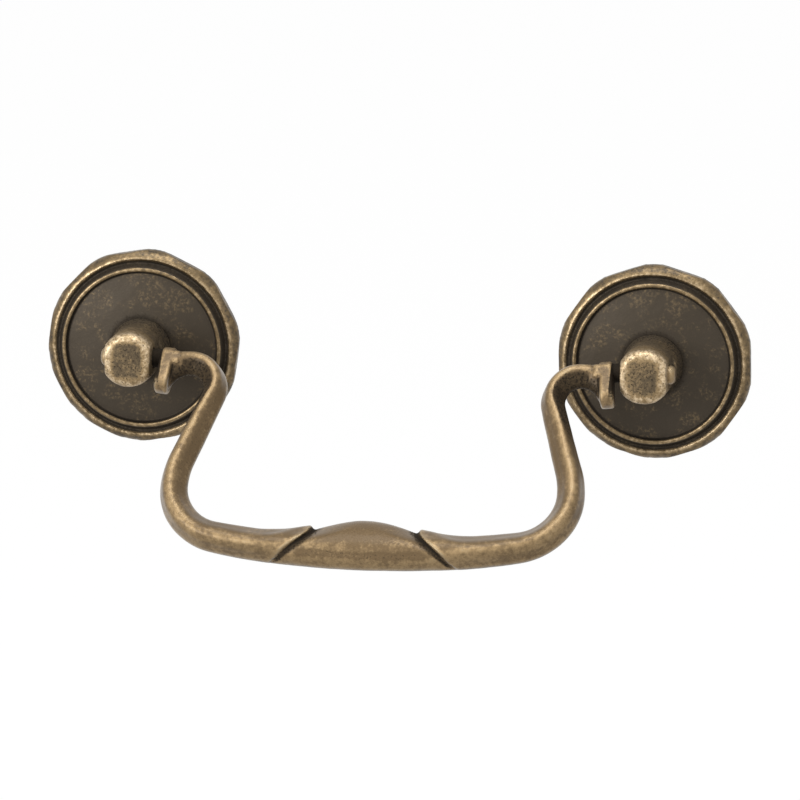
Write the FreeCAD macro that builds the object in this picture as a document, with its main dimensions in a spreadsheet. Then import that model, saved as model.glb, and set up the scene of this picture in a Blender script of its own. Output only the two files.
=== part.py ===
import FreeCAD, Part
import math
import os
import re
import Sketcher

# A swan-neck bail pull: two turned rosettes with faceted edges, two posts that stand on them, and a cast
# bail whose pins swing in the heads of the posts. X runs along the two posts, Y into the drawer front and
# Z up. The origin lies on the drawer front, midway between the posts, at the height of the pins.

SIZES = (
    # name, millimetres or degrees, what it is
    ("centres", 76.2, "distance between the two screw holes"),
    ("pin_height", 10.0, "pin axis in front of the drawer front"),
    ("rosette_round", 29.1, "diameter over the rounded corners of the facets"),
    ("rosette_flats", 28.2, "distance across opposite facets"),
    ("facet_count", 10, "facets round one rosette"),
    ("left_facet_turn", -8, "turn of the left rosette on its post, degrees"),
    ("right_facet_turn", 1, "turn of the right rosette on its post, degrees"),
    ("facet_block", 7.5, "half width of the cut that makes one facet"),
    ("edge_height", 0.6, "upright edge at the back of the rosette"),
    ("rim_radius", 13.2, "crest of the rim"),
    ("rim_height", 2.1, "crest of the rim above the back"),
    ("rim_rounding", 1.9, "round of the rim's shoulder"),
    ("cove_radius", 12.5, "deepest line of the cove inside the rim"),
    ("cove_height", 1.6, "cove above the back"),
    ("bead_radius", 11.65, "middle of the bead"),
    ("bead_width", 0.9, "width of the bead"),
    ("bead_height", 2.9, "top of the bead above the back"),
    ("bead_foot", 2.5, "foot of the bead above the back"),
    ("field_drop", 0.35, "step from the bead's foot down to the edge of the field"),
    ("field_height", 3.0, "seat of the post above the back"),
    ("field_crown", 85.0, "radius of the crowned field"),
    ("seat_radius", 4.8, "flat seat under the post"),
    ("relief_depth", 1.0, "hollow in the back of the rosette"),
    ("relief_outer", 12.3, "outer radius of the hollow"),
    ("relief_inner", 5.2, "inner radius of the hollow"),
    ("spigot_radius", 3.0, "spigot of the post in the rosette"),
    ("spigot_clearance", 0.08, "room round the spigot"),
    ("spigot_setback", 0.3, "spigot short of the drawer front"),
    ("collar_radius", 4.45, "foot of the post"),
    ("collar_edge", 0.45, "upright edge of the foot"),
    ("flank_radius", 5.5, "hollow sweep from the foot to the head"),
    ("head_radius", 4.05, "round of the head, top and bottom"),
    ("head_flats", 6.8, "distance across the two flats of the head"),
    ("head_front", 3.3, "front of the head before the pin axis"),
    ("head_depth", 6.7, "length of the flats"),
    ("head_rounding", 0.7, "worn round along the front edge"),
    ("head_corner", 0.6, "worn round where flat and round meet"),
    ("tap_radius", 1.73, "tapped hole for the drawer screw"),
    ("tap_depth", 6.8, "depth of the tapped hole"),
    ("pin_radius", 1.4, "pins of the bail"),
    ("pin_clearance", 0.08, "room round the pin in the head"),
    ("pin_reach", 1.0, "pin beyond the outer flat of the head"),
    ("pin_rounding", 0.8, "round of the pin's end"),
    ("foot_gap", 1.5, "room between the bail's foot and the head, at the pin"),
    ("foot_thickness", 1.7, "foot of the bail, along the pin"),
    ("foot_depth", 3.6, "foot of the bail, front to back"),
    ("foot_rise", 1.5, "foot above the pin axis"),
    ("foot_drop", 5.65, "toe below the pin axis"),
    ("foot_lean", 7.0, "outward lean of the foot, degrees"),
    ("foot_corner", 1.6, "round of the foot's outline, seen along the pin"),
    ("foot_rounding", 0.45, "round of the foot's edges"),
    ("swing", 40.0, "bail out from the drawer front as it is shown, degrees"),
    ("handle_drop", 31.0, "pin axis to the middle of the handle"),
    ("handle_sweep", 125.0, "radius of the handle's shallow bow"),
    ("belly_reach", 29.2, "widest place of the bail from the middle"),
    ("corner_bend", 8.5, "bend from the handle into the belly"),
    ("belly_bend", 13.5, "bend from the belly into the arm"),
    ("neck_bend", 4.0, "hook at the top of the arm"),
    ("hook_run", 3.4, "level run from the hook to the middle of the foot"),
    ("neck_offset", 0.75, "hook's last run below the pin axis"),
    ("neck_half", 1.7, "half width of the rod at the hook"),
    ("handle_half", 2.3, "half width of the rod at the handle"),
    ("neck_depth", 1.7, "half depth of the rod at the hook"),
    ("handle_depth", 2.15, "half depth of the rod at the handle"),
    ("flare", 2.5, "spread of the hook's last run towards the toe"),
    ("flare_depth", 1.4, "half depth of the rod where it meets the foot"),
    ("neck_twist", 52.0, "ridge towards the outside of the hook, degrees"),
    ("arm_twist", -12.0, "ridge towards the inside of the belly, outwards if negative, degrees"),
    ("handle_twist", -18.0, "ridge towards the inside of the handle, outwards if negative, degrees"),
    ("ridge_share", 0.11, "how far the ridge stands out, share of the rod"),
    ("grip_length", 30.0, "length of the swelling in the handle"),
    ("grip_rise", 2.85, "swelling above the rod"),
    ("grip_depth", 0.3, "swelling in front of the rod"),
    ("leaf_top", 6.5, "upper end of the leaf's edge from the middle"),
    ("leaf_bottom", 13.2, "lower end of the leaf's edge from the middle"),
    ("leaf_cut", 1.6, "depth of the leaf's edge at its upper end"),
    ("leaf_fade", 0.1, "depth of the leaf's edge at its lower end"),
    ("leaf_slope", 35.0, "slope from the leaf's edge up to the grip, degrees"),
)
SECTION_POINTS = 12
SECTION_SIDES = 3
NECK_STEPS = 4
CORNER_STEPS = 3
GRIP_STEPS = 4
FLARE_STEPS = 3
LEAF_STEPS = 8
SWELL_POWER = 1.5
FLARE_POWER = 3
TOLERANCE = 1e-5

doc = FreeCAD.newDocument("BailPull")
sheet = doc.addObject("Spreadsheet::Sheet", "Sizes")
for row, (alias, number, note) in enumerate(SIZES, start=1):
    sheet.set(f"A{row}", note)
    sheet.set(f"B{row}", str(number))
    sheet.setAlias(f"B{row}", alias)
doc.recompute()
aliases = {alias for alias, number, note in SIZES}


def size(alias):
    return float(sheet.get(alias))


def in_sheet(text):
    # Puts the sheet's name before each of its aliases in an expression.
    return re.sub(r"[a-z_]+", lambda word: "Sizes." + word[0] if word[0] in aliases else word[0], text)


def value(text):
    return float(sheet.evalExpression(in_sheet(text)))


def bind(item, path, text):
    item.setExpression(path, in_sheet(text))


def origin_plane(body, role):
    return next(item for item in body.Origin.OriginFeatures if item.Role == role)


def new_sketch(body, name, role):
    sketch = body.newObject("Sketcher::SketchObject", name)
    sketch.AttachmentSupport = (origin_plane(body, role), "")
    sketch.MapMode = "FlatFace"
    return sketch


def arc_between(start, end, radius, bulge):
    # The shorter arc from start to end that bulges to the left (+1) or the right (-1) of the way.
    chord = end - start
    left = FreeCAD.Vector(-chord.y, chord.x, 0).normalize()
    sagitta = radius - math.sqrt(radius ** 2 - (chord.Length / 2) ** 2)
    middle = (start + end) / 2 + left * bulge * sagitta
    return Part.ArcOfCircle(start, middle, end)


def place_point(sketch, segment, end, x, y):
    # Ties the end of a segment to its distances from the sketch's origin.
    for axis, kind, text in ((-2, "DistanceX", x), (-1, "DistanceY", y)):
        if text == "0":
            sketch.addConstraint(Sketcher.Constraint("PointOnObject", segment, end, axis))
            continue
        number = sketch.addConstraint(Sketcher.Constraint(kind, -1, 1, segment, end, value(text)))
        bind(sketch, f"Constraints[{number}]", text)


def draw_outline(sketch, corners):
    # Each corner is (x, y) or (x, y, radius, bulge) where the way to the next corner is an arc.
    points = [FreeCAD.Vector(value(corner[0]), value(corner[1]), 0) for corner in corners]
    starts = []
    ends = []
    for number, corner in enumerate(corners):
        start = points[number]
        end = points[(number + 1) % len(points)]
        bulge = corner[3] if len(corner) > 2 else 0
        if bulge:
            segment = sketch.addGeometry(arc_between(start, end, value(corner[2]), bulge), False)
        else:
            segment = sketch.addGeometry(Part.LineSegment(start, end), False)
        # An arc always runs counter-clockwise, so one that bulges to the left is stored from end to start.
        starts.append((segment, 2 if bulge > 0 else 1))
        ends.append((segment, 1 if bulge > 0 else 2))
    for number, corner in enumerate(corners):
        sketch.addConstraint(Sketcher.Constraint("Coincident", *ends[number - 1], *starts[number]))
        place_point(sketch, *starts[number], corner[0], corner[1])
        if len(corner) > 2:
            segment = starts[number][0]
            rule = sketch.addConstraint(Sketcher.Constraint("Radius", segment, value(corner[2])))
            bind(sketch, f"Constraints[{rule}]", corner[2])


def draw_circle(sketch, radius, height="0"):
    circle = Part.Circle(FreeCAD.Vector(0, value(height), 0), FreeCAD.Vector(0, 0, 1), value(radius))
    segment = sketch.addGeometry(circle, False)
    place_point(sketch, segment, 3, "0", height)
    rule = sketch.addConstraint(Sketcher.Constraint("Radius", segment, value(radius)))
    bind(sketch, f"Constraints[{rule}]", radius)


def turn_profile(body, name, corners):
    profile = new_sketch(body, name + "Profile", "XZ_Plane")
    draw_outline(profile, corners)
    turned = body.newObject("PartDesign::Revolution", name)
    turned.Profile = profile
    turned.ReferenceAxis = (profile, ["V_Axis"])
    turned.Angle = 360
    doc.recompute()


def cut_flats(body, name, near, far, half_width, count, top, depth):
    # One flat, as a block taken off the side, and its copies round the axis.
    outline = new_sketch(body, name + "Outline", "XY_Plane")
    bind(outline, "AttachmentOffset.Base.z", top)
    draw_outline(outline, (
        (near, "-(" + half_width + ")"),
        (far, "-(" + half_width + ")"),
        (far, half_width),
        (near, half_width),
    ))
    flat = body.newObject("PartDesign::Pocket", name)
    flat.Profile = outline
    flat.Type = "Length"
    bind(flat, "Length", depth)
    doc.recompute()
    pattern = body.newObject("PartDesign::PolarPattern", name + "Pattern")
    pattern.Originals = [flat]
    pattern.Axis = (outline, ["N_Axis"])
    pattern.Angle = 360
    bind(pattern, "Occurrences", count)
    body.Tip = pattern
    doc.recompute()


def round_edges(body, name, radius, chosen):
    base = body.Tip
    names = [f"Edge{number}" for number, edge in enumerate(base.Shape.Edges, start=1) if chosen(edge)]
    fillet = body.newObject("PartDesign::Fillet", name)
    fillet.Base = (base, names)
    bind(fillet, "Radius", radius)
    doc.recompute()


def stand_on_drawer(body, side, turn):
    # The axis of a turned piece points out of the drawer front, and the piece may turn about it.
    upright = FreeCAD.Rotation(FreeCAD.Vector(1, 0, 0), 90)
    about_axis = FreeCAD.Rotation(FreeCAD.Vector(0, 0, 1), turn)
    body.Placement = FreeCAD.Placement(FreeCAD.Vector(), upright * about_axis)
    bind(body, "Placement.Base.x", f"{side} * centres / 2")


def make_rosette(label, side, turn):
    body = doc.addObject("PartDesign::Body", label)
    body.Label = label
    hole = "spigot_radius + spigot_clearance"
    field_edge = "bead_radius - bead_width / 2"
    field_foot = "bead_foot - field_drop"
    bead_rise = "(bead_height - bead_foot)"
    bead_curve = f"(bead_width ^ 2 / 4 + {bead_rise} ^ 2) / (2 * {bead_rise})"
    turn_profile(body, "Rosette", (
        (hole, "0"),
        ("relief_inner", "0"),
        ("relief_inner", "relief_depth"),
        ("relief_outer", "relief_depth"),
        ("relief_outer", "0"),
        ("rosette_round / 2", "0"),
        ("rosette_round / 2", "edge_height", "rim_rounding", -1),
        ("rim_radius", "rim_height"),
        ("cove_radius", "cove_height"),
        ("bead_radius + bead_width / 2", "bead_foot", bead_curve, -1),
        (field_edge, "bead_foot"),
        (field_edge, field_foot, "field_crown", -1),
        ("seat_radius", "field_height"),
        (hole, "field_height"),
    ))
    above = "bead_height + rim_height"
    cut_flats(body, "Facet", "rosette_flats / 2", "rosette_round", "facet_block", "facet_count", above, above)
    stand_on_drawer(body, side, size(turn))
    return body


def make_post(label, side):
    body = doc.addObject("PartDesign::Body", label)
    body.Label = label
    front = "pin_height + head_front"
    shoulder = front + " - head_depth"
    turn_profile(body, "Post", (
        ("0", "spigot_setback"),
        ("spigot_radius", "spigot_setback"),
        ("spigot_radius", "field_height"),
        ("collar_radius", "field_height"),
        ("collar_radius", "field_height + collar_edge", "flank_radius", 1),
        ("head_radius", shoulder),
        ("head_radius", front),
        ("0", front),
    ))
    cut_flats(body, "Flat", "head_flats / 2", "head_radius * 2", "head_radius", "2", front, "head_depth")

    bore = new_sketch(body, "PinBore", "YZ_Plane")
    draw_circle(bore, "pin_radius + pin_clearance", "pin_height")
    cross_hole = body.newObject("PartDesign::Pocket", "PinHole")
    cross_hole.Profile = bore
    cross_hole.Type = "ThroughAll"
    cross_hole.Midplane = True
    doc.recompute()

    tapping = new_sketch(body, "ScrewBore", "XY_Plane")
    draw_circle(tapping, "tap_radius")
    screw_hole = body.newObject("PartDesign::Pocket", "ScrewHole")
    screw_hole.Profile = tapping
    screw_hole.Type = "Length"
    screw_hole.Reversed = True
    bind(screw_hole, "Length", "tap_depth")
    doc.recompute()

    front_height = value(front)
    flat_place = size("head_flats") / 2

    def is_corner(edge):
        ends = [vertex.Point for vertex in edge.Vertexes]
        straight = edge.Curve.TypeId == "Part::GeomLine" and abs(ends[0].z - ends[-1].z) > TOLERANCE
        return straight and all(abs(abs(point.x) - flat_place) < TOLERANCE for point in ends)

    def is_front(edge):
        return all(abs(vertex.Point.z - front_height) < TOLERANCE for vertex in edge.Vertexes)

    round_edges(body, "HeadCorner", "head_corner", is_corner)
    round_edges(body, "HeadFront", "head_rounding", is_front)
    stand_on_drawer(body, side, 0)
    return body


def bail_line():
    # Stations of the right half of the bail in its own plane, from the middle out to the foot. A station is
    # (reach, drop, facing): across from the middle, down from the pin axis, and the angle by which the rod's
    # inner side is turned from upright.
    sweep = size("handle_sweep")
    corner = size("corner_bend")
    belly = size("belly_bend")
    neck = size("neck_bend")
    belly_reach = size("belly_reach")
    handle_drop = size("handle_drop")
    corner_reach = belly_reach - corner
    bow_centre = handle_drop - sweep
    belly_drop = bow_centre + math.sqrt((sweep - corner) ** 2 - corner_reach ** 2)
    corner_start = math.asin(corner_reach / (sweep - corner))
    # The straight arm touches the belly's bend on one side and the hook's bend on the other.
    hook_reach = foot_middle() - size("hook_run")
    hook_drop = size("neck_offset") + neck
    across = hook_reach - (belly_reach - belly)
    down = hook_drop - belly_drop
    arm_facing = math.atan2(across, down) - math.acos((belly + neck) / math.hypot(across, down))

    def on_arc(reach, drop, radius, facing):
        return reach + radius * math.sin(facing), drop + radius * math.cos(facing), facing

    stations = []
    grip_end = math.asin(size("grip_length") / 2 / sweep)
    for step in range(GRIP_STEPS + 1):
        stations.append(on_arc(0, bow_centre, sweep, grip_end * step / GRIP_STEPS))
    for step in range(CORNER_STEPS):
        facing = corner_start + (math.pi / 2 - corner_start) * step / CORNER_STEPS
        stations.append(on_arc(corner_reach, belly_drop, corner, facing))
    for facing in (math.pi / 2, arm_facing):
        stations.append(on_arc(belly_reach - belly, belly_drop, belly, facing))
    arm_reach, arm_drop, facing = stations[-1]
    hook = [on_arc(hook_reach, hook_drop, -neck, arm_facing * (1 - step / NECK_STEPS))
            for step in range(NECK_STEPS + 1)]
    stations.append(((arm_reach + hook[0][0]) / 2, (arm_drop + hook[0][1]) / 2, arm_facing))
    stations.extend(hook)
    for step in range(1, FLARE_STEPS + 1):
        stations.append((hook_reach + size("hook_run") * step / FLARE_STEPS, size("neck_offset"), 0.0))
    return stations


def foot_middle():
    # Middle of the foot along the pin, at the pin axis.
    return size("centres") / 2 - size("head_flats") / 2 - size("foot_gap") - size("foot_thickness") / 2


def grip_swell(reach):
    # How far the grip has swollen at a distance from the middle, from 0 to 1.
    return max(1 - (2 * reach / size("grip_length")) ** 2, 0) ** SWELL_POWER


def rod_section(station, sizes, side):
    # A rounded triangle: its ridge faces the front, turned towards the inner side by the twist.
    reach, drop, facing = station
    inner, outer, depth, twist = sizes
    half = (inner + outer) / 2
    middle = (inner - outer) / 2
    inward = FreeCAD.Vector(-side * math.sin(facing), 0, math.cos(facing))
    forward = FreeCAD.Vector(0, -1, 0)
    centre = FreeCAD.Vector(side * reach, 0, -drop) + inward * middle
    ridge = math.pi / 2 - math.radians(twist)
    points = []
    for number in range(SECTION_POINTS):
        angle = -math.pi / 2 + 2 * math.pi * number / SECTION_POINTS
        spread = 1 + size("ridge_share") * math.cos(SECTION_SIDES * (angle - ridge))
        points.append(centre + inward * half * spread * math.cos(angle)
                      + forward * depth * spread * math.sin(angle))
    curve = Part.BSplineCurve()
    curve.interpolate(points, PeriodicFlag=True)
    quarter = len(points) // 4
    quarters = [curve.parameter(point) for point in points[quarter::quarter]]
    quarters = [curve.FirstParameter, *quarters, curve.LastParameter]
    return Part.Wire([curve.toShape(first, last) for first, last in zip(quarters, quarters[1:])])


def make_rod():
    stations = bail_line()
    corner_number = GRIP_STEPS + 1
    belly_number = corner_number + CORNER_STEPS
    hook_number = len(stations) - FLARE_STEPS - NECK_STEPS - 1
    arch_number = len(stations) - FLARE_STEPS - 1

    def between(first, last, share):
        return first + (last - first) * min(max(share, 0), 1)

    def section_sizes(number, reach):
        share = (number - GRIP_STEPS) / (hook_number - GRIP_STEPS)
        half = between(size("handle_half"), size("neck_half"), share)
        depth = between(size("handle_depth"), size("neck_depth"), share)
        twist = between(size("handle_twist"), size("arm_twist"), (number - GRIP_STEPS) / CORNER_STEPS)
        if number > belly_number:
            turn = (number - hook_number) / (arch_number - hook_number)
            twist = between(size("arm_twist"), size("neck_twist"), turn)
        inner = half
        outer = half
        if number < corner_number:
            inner += size("grip_rise") * grip_swell(reach)
            depth += size("grip_depth") * grip_swell(reach)
        if number > arch_number:
            run = (number - arch_number) / FLARE_STEPS
            outer += size("flare") * run ** FLARE_POWER
            depth = between(depth, size("flare_depth"), run)
        return inner, outer, depth, twist

    sections = []
    for side in (-1, 1):
        half = [rod_section(station, section_sizes(number, station[0]), side)
                for number, station in enumerate(stations)]
        sections += half[::-1] if side < 0 else half[1:]
    rod = doc.addObject("Part::Feature", "Rod")
    rod.Shape = Part.makeLoft(sections, True, False)
    right = doc.addObject("Part::Box", "RightSide")
    bind(right, "Length", "centres")
    bind(right, "Width", "centres")
    bind(right, "Height", "centres")
    bind(right, "Placement.Base.y", "-centres / 2")
    bind(right, "Placement.Base.z", "handle_drop - centres")
    half_rod = doc.addObject("Part::Common", "HalfRod")
    half_rod.Base = rod
    half_rod.Tool = right
    return half_rod


def make_leaf_edge():
    # The step at the end of the leaf: a wedge with one upright wall on the leaf's side and a slope that
    # runs out on the grip. It follows the front of the rod, is deepest at the upper edge, which it notches,
    # and runs out at the lower one.
    half = size("handle_half")
    sweep = size("handle_sweep")
    top_height = half + size("grip_rise")
    wall = size("handle_depth") + size("grip_depth") + size("leaf_cut")
    slope = wall / math.tan(math.radians(size("leaf_slope")))
    profiles = []
    for step in range(LEAF_STEPS + 1):
        share = step / LEAF_STEPS
        reach = size("leaf_top") + (size("leaf_bottom") - size("leaf_top")) * share
        height = top_height - (top_height + half) * share
        cut = size("leaf_cut") + (size("leaf_fade") - size("leaf_cut")) * share
        rise = size("grip_rise") * grip_swell(reach)
        depth = size("handle_depth") + size("grip_depth") * grip_swell(reach)
        along = (height - rise / 2) / (half + rise / 2)
        front = depth * math.sqrt(max(1 - along ** 2, 0)) - cut
        bow = sweep - math.sqrt(sweep ** 2 - reach ** 2)
        base = FreeCAD.Vector(reach, -front, height + bow - size("handle_drop"))
        outward = FreeCAD.Vector(0, -wall, 0)
        across = FreeCAD.Vector(-slope, 0, 0)
        profiles.append(Part.makePolygon([base, base + outward, base + outward + across, base]))
    wedge = doc.addObject("Part::Feature", "LeafEdge")
    wedge.Shape = Part.makeLoft(profiles, True, True)
    return wedge


def round_solid(name, base, radius, chosen):
    rounded = doc.addObject("Part::Fillet", name)
    rounded.Base = base
    rounded.Edges = [(number, size(radius), size(radius))
                     for number, edge in enumerate(base.Shape.Edges, start=1) if chosen(edge)]
    return rounded


def make_foot():
    reach = size("foot_thickness") / 2
    plate = doc.addObject("Part::Box", "FootPlate")
    bind(plate, "Length", "foot_thickness")
    bind(plate, "Width", "foot_depth")
    bind(plate, "Height", "foot_rise + foot_drop")
    doc.recompute()
    oval = round_solid("FootOval", plate, "foot_corner", lambda edge: edge.BoundBox.XLength > reach)
    doc.recompute()
    foot = round_solid("Foot", oval, "foot_rounding", lambda edge: edge.BoundBox.XLength < reach)
    lean = FreeCAD.Placement()
    lean.Rotation = FreeCAD.Rotation(FreeCAD.Vector(0, 1, 0), -size("foot_lean"))
    corner = FreeCAD.Vector(-size("foot_thickness") / 2, -size("foot_depth") / 2, -size("foot_drop"))
    at_pin = FreeCAD.Placement(FreeCAD.Vector(foot_middle(), 0, 0), FreeCAD.Rotation())
    foot.Placement = at_pin * lean * FreeCAD.Placement(corner, FreeCAD.Rotation())
    return foot


def make_pin():
    length = "head_flats + foot_gap + foot_thickness / 2 + pin_reach"
    shank = doc.addObject("Part::Cylinder", "PinShank")
    bind(shank, "Radius", "pin_radius")
    bind(shank, "Height", length)
    doc.recompute()
    middle = value(length) / 2
    pin = round_solid("Pin", shank, "pin_rounding", lambda edge: edge.BoundBox.ZMin > middle)
    sideways = FreeCAD.Rotation(FreeCAD.Vector(0, 1, 0), 90)
    pin.Placement = FreeCAD.Placement(FreeCAD.Vector(foot_middle(), 0, 0), sideways)
    return pin


def make_bail():
    # The right half is made whole and mirrored, so that both ends swing alike.
    carved = doc.addObject("Part::Cut", "CarvedRod")
    carved.Base = make_rod()
    carved.Tool = make_leaf_edge()
    right = doc.addObject("Part::MultiFuse", "RightHalf")
    right.Shapes = [carved, make_foot(), make_pin()]
    left = doc.addObject("Part::Mirroring", "LeftHalf")
    left.Source = right
    left.Base = FreeCAD.Vector()
    left.Normal = FreeCAD.Vector(1, 0, 0)
    whole = doc.addObject("Part::MultiFuse", "bail")
    whole.Shapes = [left, right]
    whole.Refine = True
    whole.Label = "bail"
    swung = FreeCAD.Rotation(FreeCAD.Vector(1, 0, 0), -size("swing"))
    whole.Placement = FreeCAD.Placement(FreeCAD.Vector(), swung)
    bind(whole, "Placement.Base.y", "-pin_height")
    return whole


nodes = [
    make_rosette("left_rosette", -1, "left_facet_turn"),
    make_rosette("right_rosette", 1, "right_facet_turn"),
    make_post("left_post", -1),
    make_post("right_post", 1),
    make_bail(),
]
doc.recompute()

failed = [item.Name for item in doc.Objects if {"Invalid", "Error"} & set(item.State)]
broken = [node.Label for node in nodes
          if node.Shape.isNull() or not node.Shape.isValid() or len(node.Shape.Solids) != 1]
if failed or broken:
    raise RuntimeError(f"failed objects {failed}, broken pieces {broken}")

os.makedirs("parts", exist_ok=True)
for node in nodes:
    node.Shape.exportStep(f"parts/{node.Label}.step")
    print(node.Label, round(node.Shape.Volume, 2))
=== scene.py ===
import math

import bmesh
import bpy
import numpy as np
from mathutils import Matrix, Vector


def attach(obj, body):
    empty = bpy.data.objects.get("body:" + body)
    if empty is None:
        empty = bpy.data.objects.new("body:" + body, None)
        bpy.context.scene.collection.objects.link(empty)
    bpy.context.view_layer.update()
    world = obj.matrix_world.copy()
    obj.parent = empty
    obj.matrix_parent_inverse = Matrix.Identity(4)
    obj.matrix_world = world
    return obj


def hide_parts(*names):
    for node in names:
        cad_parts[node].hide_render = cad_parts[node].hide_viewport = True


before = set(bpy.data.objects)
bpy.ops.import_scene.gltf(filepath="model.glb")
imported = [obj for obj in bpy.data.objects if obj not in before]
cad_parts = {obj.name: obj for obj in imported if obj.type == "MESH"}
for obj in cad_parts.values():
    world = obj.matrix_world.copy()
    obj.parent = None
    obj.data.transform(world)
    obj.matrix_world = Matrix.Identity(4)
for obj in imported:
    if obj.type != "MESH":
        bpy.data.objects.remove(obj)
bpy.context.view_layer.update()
mm = 0.001  # the sizes of the pieces are in millimetres and degrees
weld = 0.001 * mm
hair = 0.01  # a length too small to matter
sides = (("left", -1), ("right", 1))


# small helpers

def pickNothing():
    if bpy.context.mode != "OBJECT":
        bpy.ops.object.mode_set(mode="OBJECT")
    bpy.ops.object.select_all(action="DESELECT")


def pickOnly(piece):
    pickNothing()
    piece.select_set(True)
    bpy.context.view_layer.objects.active = piece


def settle(piece):
    # puts the piece's place, turn and scale into its mesh
    pickOnly(piece)
    bpy.ops.object.transform_apply(location=True, rotation=True, scale=True)


def applyModifiers(piece):
    pickOnly(piece)
    for modifier in list(piece.modifiers):
        bpy.ops.object.modifier_apply(modifier=modifier.name)


def pickEdges(piece, chosen):
    # in edit mode, selects only the chosen edges
    bpy.ops.mesh.select_mode(type="EDGE")
    bpy.ops.mesh.select_all(action="DESELECT")
    shell = bmesh.from_edit_mesh(piece.data)
    for edge in shell.edges:
        edge.select_set(chosen(edge.verts[0].co, edge.verts[1].co))
    bmesh.update_edit_mesh(piece.data)


def ease(low, high, value):
    share = np.clip((value - low) / (high - low), 0, 1)
    return share * share * (3 - 2 * share)


def band(limits, value):
    # goes from 0 at the first limit to 1 at the second, and back between the third and fourth if it has them
    share = ease(limits[0], limits[1], value)
    if len(limits) == 4:
        share = share * ease(limits[3], limits[2], value)
    return share


def hump(middle, spread, value):
    return np.exp(-((value - middle) / spread) ** 2)


def arcPoints(start, end, radius, bulge, count):
    # points after start on the shorter arc to end, which bulges left (1) or right (-1) of the way
    start, end = Vector(start), Vector(end)
    chord = end - start
    left = Vector((-chord.y, chord.x)).normalized() * bulge
    reach = math.sqrt(max(radius ** 2 - (chord.length / 2) ** 2, 0))
    centre = (start + end) / 2 - left * reach
    first = math.atan2(start.y - centre.y, start.x - centre.x)
    last = math.atan2(end.y - centre.y, end.x - centre.x)
    sweep = (last - first + math.pi) % (2 * math.pi) - math.pi
    return [(centre.x + radius * math.cos(first + sweep * step / count),
             centre.y + radius * math.sin(first + sweep * step / count)) for step in range(1, count + 1)]


def turnPiece(name, corners, centre, steps):
    # a profile of (radius, height) drawn point by point, then spun round the post's axis
    pickNothing()
    first = corners[0]
    bpy.ops.mesh.primitive_plane_add(size=mm, location=(centre + first[0] * mm, -first[1] * mm, 0))
    piece = bpy.context.object
    piece.name = name
    settle(piece)
    bpy.ops.object.mode_set(mode="EDIT")
    bpy.ops.mesh.select_all(action="SELECT")
    bpy.ops.mesh.merge(type="CENTER")
    for last, corner in zip(corners, corners[1:]):
        step = ((corner[0] - last[0]) * mm, (last[1] - corner[1]) * mm, 0)
        bpy.ops.mesh.extrude_region_move(TRANSFORM_OT_translate={"value": step})
    bpy.ops.mesh.select_all(action="SELECT")
    bpy.ops.mesh.spin(steps=steps, angle=2 * math.pi, center=(centre, 0, 0), axis=(0, 1, 0))
    bpy.ops.mesh.select_all(action="SELECT")
    bpy.ops.mesh.remove_doubles(threshold=weld)
    bpy.ops.mesh.normals_make_consistent(inside=False)
    bpy.ops.object.mode_set(mode="OBJECT")
    return piece


def makeBlock(name, size, place=(0, 0, 0)):
    pickNothing()
    bpy.ops.mesh.primitive_cube_add(size=1, location=[part * mm for part in place])
    block = bpy.context.object
    block.name = name
    block.scale = [part * mm for part in size]
    settle(block)
    return block


def softCast(piece, voxel, passes):
    # one closed skin with worn edges
    skin = piece.modifiers.new("castSkin", "REMESH")
    skin.mode = "VOXEL"
    skin.voxel_size = voxel * mm
    worn = piece.modifiers.new("wornEdges", "SMOOTH")
    worn.factor = 0.5
    worn.iterations = passes


def addWaviness(piece, strength, waveSize):
    # the slight waviness of a casting
    clouds = bpy.data.textures.new(piece.name + "Waviness", "CLOUDS")
    clouds.noise_scale = waveSize * mm
    clouds.noise_depth = 2
    wavy = piece.modifiers.new("wavyCasting", "DISPLACE")
    wavy.texture = clouds
    wavy.texture_coords = "LOCAL"
    wavy.strength = strength * mm
    wavy.mid_level = 0.5
    return wavy


def smoothWhere(piece, name, share, passes):
    # smooths the skin where share is above 0, as much as it says
    group = piece.vertex_groups.new(name=name)
    for number in np.flatnonzero(share > 0):
        group.add([int(number)], float(share[number]), "REPLACE")
    smoothing = piece.modifiers.new(name + "Smoothing", "SMOOTH")
    smoothing.factor = 0.5
    smoothing.iterations = passes
    smoothing.vertex_group = group.name
    return group


def finishSkin(piece):
    applyModifiers(piece)
    piece.vertex_groups.clear()
    bpy.ops.object.shade_smooth()


def readSkin(piece):
    mesh = piece.data
    places = np.empty(len(mesh.vertices) * 3)
    mesh.vertices.foreach_get("co", places)
    normals = np.empty(len(mesh.vertices) * 3)
    mesh.vertices.foreach_get("normal", normals)
    edges = np.empty(len(mesh.edges) * 2, dtype=np.int64)
    mesh.edges.foreach_get("vertices", edges)
    return places.reshape(-1, 3) / mm, normals.reshape(-1, 3), edges.reshape(-1, 2)


def bulges(places, normals, edges, passes):
    # how far each point stands out of its smoothed surroundings, in millimetres
    ends = np.concatenate((edges, edges[:, ::-1]))
    counts = np.bincount(ends[:, 0], minlength=len(places))[:, None]
    smooth = places
    for _ in range(passes):
        sums = np.stack([np.bincount(ends[:, 0], weights=smooth[ends[:, 1], axis], minlength=len(places))
                         for axis in range(3)], axis=1)
        smooth = (smooth + sums / counts) / 2
    return ((places - smooth) * normals).sum(axis=1)


def keepMasks(piece, masks, weights):
    # each weighted sum of the masks becomes an attribute that the finish reads
    for name, shares in weights.items():
        values = sum(share * masks[part] for part, share in shares.items())
        mask = piece.data.attributes.new(name, "FLOAT", "POINT")
        mask.data.foreach_set("value", np.clip(values, 0, 1).astype(np.float32))


# rosettes

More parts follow.
